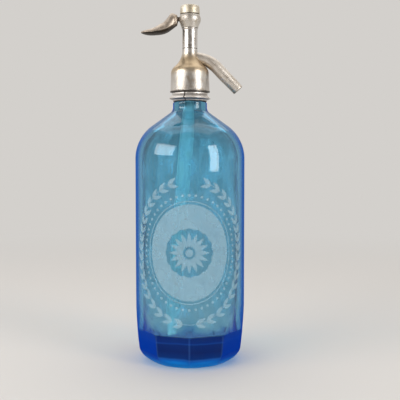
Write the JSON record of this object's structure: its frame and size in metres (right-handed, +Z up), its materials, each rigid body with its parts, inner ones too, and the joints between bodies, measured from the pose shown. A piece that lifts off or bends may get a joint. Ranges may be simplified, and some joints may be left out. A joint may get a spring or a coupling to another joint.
{
  "type": "soda siphon",
  "caption": "Glass soda siphon with facetted foot, metal head, side thumb lever on a sprung valve rod, bent spout and dip tube.",
  "frame": {"origin": "centre of the bottle's foot, on the surface that it stands on", "axes": "+Z up along the bottle, -X towards the lever, +X towards the spout, -Y is the front"},
  "size_m": [0.098, 0.098, 0.3172],
  "materials": {
    "blue_glass": "clear moulded glass, tinted blue",
    "pale_glass": "clear drawn glass tube",
    "pewter": "cast white metal, nickel plated and worn",
    "brass": "turned brass",
    "steel": "drawn steel wire and pin",
    "rubber": "moulded black rubber",
    "leather": "greased leather packing",
    "fibre": "dark vulcanised fibre washer"
  },
  "bodies": {
    "root": {"bottle": "blue_glass", "neck_ring_left": "pewter", "neck_ring_right": "pewter", "neck_gasket": "rubber", "tube_ferrule": "brass", "tube_seal": "rubber", "dip_tube": "pale_glass", "head_body": "pewter", "spout": "pewter", "valve_seat": "brass", "stem_packing": "leather", "gland_nipple": "brass", "upper_stem": "pewter", "lever_housing": "pewter", "lever_pin": "steel", "return_spring": "steel", "cap_washer": "fibre", "top_cap": "pewter"},
    "thumb_lever": {"lever": "pewter"},
    "piston": {"piston_rod": "brass", "spring_collar": "brass", "valve_holder": "brass", "valve_disc": "rubber", "disc_screw": "brass"}
  },
  "joints": [
    {"name": "lever_hinge", "type": "hinge", "parent": "root", "child": "thumb_lever", "pos_m": [-0.0048, 0, 0.30501], "axis": [0, -1, 0], "range_deg": [0, 22], "stiffness_Nm_per_rad": 0.05, "springref_deg": -22.92},
    {"name": "piston_slide", "type": "slide", "parent": "root", "child": "piston", "axis": [0, 0, 1], "range_m": [0, 0.00185], "deforming": ["return_spring"]}
  ],
  "couplings": [
    {"joint": "piston_slide", "follows": "lever_hinge", "m_per_rad": 0.0048}
  ]
}
